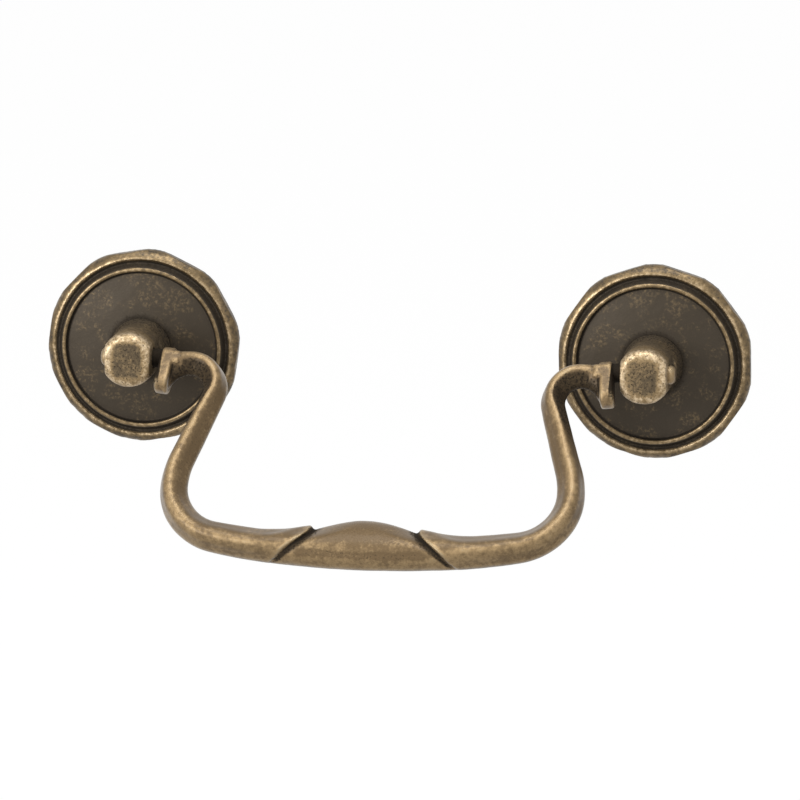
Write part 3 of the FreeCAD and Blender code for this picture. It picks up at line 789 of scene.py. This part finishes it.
def wornBrassGroup():
    # dark patina that is rubbed through to brass where the wear mask is high, and darkened towards near
    # black where the hollow mask is high: partly dirt, partly painted shade
    g = brassGrain
    group = bpy.data.node_groups.new("wornBrass", "ShaderNodeTree")
    sockets = {
        "INPUT": {"Wear": "Float", "Hollow": "Float", "Patina": "Color", "Brass": "Color", "Bright": "Color",
                  "Fleck": "Float", "Bare": "Float", "Dull": "Float", "Pits": "Float"},
        "OUTPUT": {"Color": "Color", "Roughness": "Float", "Metallic": "Float", "Height": "Float",
                   "ClearOfGrimeAndShade": "Float"},
    }
    for way, named in sockets.items():
        for name, kind in named.items():
            group.interface.new_socket(name=name, in_out=way, socket_type="NodeSocket" + kind)
    given = addNode(group, "NodeGroupInput").outputs
    results = addNode(group, "NodeGroupOutput").inputs
    place = addNode(group, "ShaderNodeTexCoord")

    def noise(name):
        node = addNode(group, "ShaderNodeTexNoise")
        for socket, value in zip(("Scale", "Detail", "Roughness"), g[name]):
            node.inputs[socket].default_value = value
        group.links.new(place.outputs["Object"], node.inputs["Vector"])
        return node.outputs["Fac"]

    def addScaled(first, second, factor):
        node = addNode(group, "ShaderNodeMath", operation="MULTIPLY_ADD")
        group.links.new(second, node.inputs[0])
        node.inputs[1].default_value = factor
        group.links.new(first, node.inputs[2])
        return node.outputs[0]

    def product(first, second):
        node = addNode(group, "ShaderNodeMath", operation="MULTIPLY", use_clamp=True)
        group.links.new(first, node.inputs[0])
        group.links.new(second, node.inputs[1])
        return node.outputs[0]

    def between(value, limits, first=0.0, last=1.0):
        node = addNode(group, "ShaderNodeMapRange", interpolation_type="SMOOTHSTEP")
        group.links.new(value, node.inputs["Value"])
        node.inputs["From Min"].default_value = limits[0]
        node.inputs["From Max"].default_value = limits[1]
        node.inputs["To Min"].default_value = first
        node.inputs["To Max"].default_value = last
        return node.outputs["Result"]

    def blend(share, first, last):
        node = addNode(group, "ShaderNodeMix", data_type="RGBA")
        group.links.new(share, node.inputs["Factor"])
        group.links.new(first, node.inputs["A"])
        if isinstance(last, tuple):
            node.inputs["B"].default_value = last
        else:
            group.links.new(last, node.inputs["B"])
        return node.outputs["Result"]

    whole = (0, 1)
    mottle = noise("mottle")
    patch = noise("patch")
    grit = noise("grit")
    rubbed = addScaled(given["Wear"], mottle, g["mottleWear"])
    rubbed = addScaled(addScaled(rubbed, patch, g["patchWear"]), grit, g["gritWear"])
    mask = between(rubbed, g["brassBand"])
    colour = blend(mask, given["Patina"], given["Brass"])
    colour = blend(between(rubbed, g["brightBand"]), colour, given["Bright"])
    flecks = product(between(noise("flecks"), g["fleckBand"]), between(patch, g["fleckPatch"]))
    colour = blend(product(flecks, given["Fleck"]), colour, given["Brass"])
    pits = product(between(noise("pits"), g["pitBand"]), given["Pits"])
    # the hollow mask, with mottle and pits, darkens the colour: dirt in the recesses together with painted
    # shade
    dirtAndShade = addScaled(addScaled(given["Hollow"], mottle, g["grimeAndShadeMottle"]), pits, 1)
    grimeAndShade = between(dirtAndShade, g["grimeAndShadeBand"])
    group.links.new(blend(grimeAndShade, colour, g["grimeAndShade"]), results["Color"])
    gloss = between(mask, whole, g["patinaRoughness"], g["brassRoughness"])
    gloss = addScaled(addScaled(gloss, grit, g["gritRoughness"]), grimeAndShade, g["grimeAndShadeRoughness"])
    group.links.new(addScaled(gloss, given["Dull"], 1), results["Roughness"])
    group.links.new(between(grimeAndShade, whole, 1, 0), results["ClearOfGrimeAndShade"])
    metal = between(mask, whole, 0, g["brassMetal"])
    group.links.new(given["Bare"], metal.node.inputs["To Min"])
    group.links.new(metal, results["Metallic"])
    height = addScaled(addScaled(mottle, grit, g["gritHeight"]), patch, g["patchHeight"])
    group.links.new(height, results["Height"])
    return group


wornBrass = wornBrassGroup()

coat = {
    "bumpDistance": 0.05, "slantBlend": 0.5, "slantFrom": 0.3, "slantTo": 0.8,
    "roughness": 0.35, "ior": 1.9,
}


def antiqueBrass(name, look):
    material = bpy.data.materials.new(name)
    material.use_nodes = True
    tree = material.node_tree
    shader = tree.nodes["Principled BSDF"]
    finish = addNode(tree, "ShaderNodeGroup", node_tree=wornBrass)
    for mask in ("wear", "hollow"):
        reader = addNode(tree, "ShaderNodeAttribute", attribute_name=mask)
        tree.links.new(reader.outputs["Fac"], finish.inputs[mask.capitalize()])
    for socket in ("Patina", "Brass", "Bright"):
        finish.inputs[socket].default_value = (*look[socket.lower()], 1)
    for socket in ("Fleck", "Bare", "Dull", "Pits"):
        finish.inputs[socket].default_value = look[socket.lower()]
    bump = addNode(tree, "ShaderNodeBump")
    bump.inputs["Strength"].default_value = look["bump"]
    bump.inputs["Distance"].default_value = coat["bumpDistance"] * mm
    tree.links.new(finish.outputs["Height"], bump.inputs["Height"])
    # the lacquer's gloss shows mostly at a slant, and the grime and painted shade cover it
    slant = addNode(tree, "ShaderNodeLayerWeight")
    slant.inputs["Blend"].default_value = coat["slantBlend"]
    gloss = addNode(tree, "ShaderNodeMapRange", interpolation_type="SMOOTHSTEP")
    gloss.inputs["From Min"].default_value = coat["slantFrom"]
    gloss.inputs["From Max"].default_value = coat["slantTo"]
    gloss.inputs["To Min"].default_value = look["lacquer"]
    gloss.inputs["To Max"].default_value = look["slantLacquer"]
    tree.links.new(slant.outputs["Facing"], gloss.inputs["Value"])
    lacquer = addNode(tree, "ShaderNodeMath", operation="MULTIPLY")
    tree.links.new(gloss.outputs["Result"], lacquer.inputs[0])
    tree.links.new(finish.outputs["ClearOfGrimeAndShade"], lacquer.inputs[1])
    tree.links.new(finish.outputs["Color"], shader.inputs["Base Color"])
    tree.links.new(finish.outputs["Roughness"], shader.inputs["Roughness"])
    tree.links.new(finish.outputs["Metallic"], shader.inputs["Metallic"])
    tree.links.new(bump.outputs["Normal"], shader.inputs["Normal"])
    tree.links.new(lacquer.outputs[0], shader.inputs["Coat Weight"])
    shader.inputs["Coat Roughness"].default_value = coat["roughness"]
    shader.inputs["Coat IOR"].default_value = coat["ior"]
    return material


looks = {
    "rosetteBrass": {
        "patina": (0.042, 0.032, 0.021), "brass": (0.18, 0.126, 0.064), "bright": (0.4, 0.3, 0.18),
        "fleck": 0.45, "bare": 0.8, "dull": 0.04, "pits": 0.2, "bump": 0.5,
        "lacquer": 0.05, "slantLacquer": 0.3,
    },
    "postBrass": {
        "patina": (0.075, 0.053, 0.028), "brass": (0.25, 0.175, 0.09), "bright": (0.55, 0.43, 0.28),
        "fleck": 0.7, "bare": 0.7, "dull": 0.14, "pits": 0.55, "bump": 0.9,
        "lacquer": 0.05, "slantLacquer": 0.3,
    },
    "bailBrass": {
        "patina": (0.13, 0.085, 0.04), "brass": (0.268, 0.186, 0.094), "bright": (0.27, 0.204, 0.12),
        "fleck": 0.5, "bare": 0.85, "dull": 0.18, "pits": 0.28, "bump": 0.9,
        "lacquer": 0.1, "slantLacquer": 0.9,
    },
}
finishes = {name: antiqueBrass(name, look) for name, look in looks.items()}


def dress(piece, finish, body, node):
    piece.data.materials.clear()
    piece.data.materials.append(finishes[finish])
    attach(piece, body)
    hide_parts(node)


for side in ("left", "right"):
    dress(rosettes[side], "rosetteBrass", "mounting", side + "_rosette")
    dress(posts[side], "postBrass", "mounting", side + "_post")
dress(bailCast, "bailBrass", "bail", "bail")
print("finishes", sorted(finishes))


# floor, light and camera, in metres

studio = {
    "floorDrop": 0.22, "floorSize": 12, "floorColor": (0.85, 0.85, 0.85, 1),
    "floorGlow": 1.04, "glowShare": 0.92,
    "key": {"place": (-0.75, -0.95, 0.3), "size": 0.5, "power": 11},
    "fill": {"place": (0.8, -0.8, 0.25), "size": 0.7, "power": 1.6},
    "top": {"place": (0.0, -0.35, 0.95), "size": 0.6, "power": 8},
    "lampAim": (0, -0.01, -0.01), "ambient": 0.4, "backdrop": 1.0, "white": (1, 1, 1, 1),
}


def seenRays(tree):
    # 1 for rays from the camera and for mirrored or refracted ones
    path = addNode(tree, "ShaderNodeLightPath")
    total = path.outputs["Is Camera Ray"]
    for name in ("Is Glossy Ray", "Is Transmission Ray"):
        either = addNode(tree, "ShaderNodeMath", operation="MAXIMUM")
        tree.links.new(total, either.inputs[0])
        tree.links.new(path.outputs[name], either.inputs[1])
        total = either.outputs[0]
    return total


def mixShaders(tree, share, first, last, output):
    mix = addNode(tree, "ShaderNodeMixShader")
    tree.links.new(share, mix.inputs[0])
    tree.links.new(first.outputs[0], mix.inputs[1])
    tree.links.new(last.outputs[0], mix.inputs[2])
    tree.links.new(mix.outputs[0], tree.nodes[output].inputs["Surface"])


def makeFloor():
    pickNothing()
    bpy.ops.mesh.primitive_plane_add(size=studio["floorSize"], location=(0, 0, -studio["floorDrop"]))
    floor = bpy.context.object
    floor.name = "studioFloor"
    settle(floor)
    material = bpy.data.materials.new("paleFloor")
    material.use_nodes = True
    tree = material.node_tree
    tree.nodes.remove(tree.nodes["Principled BSDF"])
    matt = addNode(tree, "ShaderNodeBsdfDiffuse")
    matt.inputs["Color"].default_value = studio["floorColor"]
    glow = addNode(tree, "ShaderNodeEmission")
    glow.inputs["Color"].default_value = studio["white"]
    glow.inputs["Strength"].default_value = studio["floorGlow"]
    share = addNode(tree, "ShaderNodeMath", operation="MULTIPLY")
    tree.links.new(seenRays(tree), share.inputs[0])
    share.inputs[1].default_value = studio["glowShare"]
    mixShaders(tree, share.outputs[0], matt, glow, "Material Output")
    floor.data.materials.append(material)


def makeWorld():
    world = bpy.data.worlds.new("studioRoom")
    bpy.context.scene.world = world
    world.use_nodes = True
    tree = world.node_tree
    room = tree.nodes["Background"]
    room.inputs["Color"].default_value = studio["white"]
    room.inputs["Strength"].default_value = studio["ambient"]
    backdrop = addNode(tree, "ShaderNodeBackground")
    backdrop.inputs["Color"].default_value = studio["white"]
    backdrop.inputs["Strength"].default_value = studio["backdrop"]
    mixShaders(tree, seenRays(tree), room, backdrop, "World Output")


def makeLamp(name):
    lamp = studio[name]
    pickNothing()
    bpy.ops.object.light_add(type="AREA", location=lamp["place"])
    light = bpy.context.object
    light.name = name + "Light"
    light.data.size = lamp["size"]
    light.data.energy = lamp["power"]
    beam = Vector(studio["lampAim"]) - Vector(lamp["place"])
    light.rotation_euler = beam.to_track_quat("-Z", "Y").to_euler()


photoView = {
    "azimuth": 9.98, "elevation": 11.6, "roll": -0.1, "distance": 1.2, "lens": 370.4, "sensor": 36,
    "aim": (0, -0.010, 0), "right": 0.00188, "up": -0.00502, "near": 0.05, "far": 50,
}


def makeCamera():
    v = photoView
    azimuth, elevation = math.radians(v["azimuth"]), math.radians(v["elevation"])
    back = Vector((math.sin(azimuth) * math.cos(elevation), -math.cos(azimuth) * math.cos(elevation),
                   math.sin(elevation)))
    right = Vector((math.cos(azimuth), math.sin(azimuth), 0))
    up = back.cross(right)
    pickNothing()
    bpy.ops.object.camera_add()
    camera = bpy.context.object
    camera.name = "photoCamera"
    camera.data.lens = v["lens"]
    camera.data.sensor_width = v["sensor"]
    camera.data.clip_start = v["near"]
    camera.data.clip_end = v["far"]
    place = Vector(v["aim"]) + back * v["distance"] + right * v["right"] + up * v["up"]
    turn = Matrix((right, up, back)).transposed() @ Matrix.Rotation(math.radians(v["roll"]), 3, "Z")
    camera.matrix_world = Matrix.Translation(place) @ turn.to_4x4()
    bpy.context.scene.camera = camera


makeFloor()
makeWorld()
for name in ("key", "fill", "top"):
    makeLamp(name)
makeCamera()
bpy.context.scene.view_settings.view_transform = "Standard"
print("studio ready")
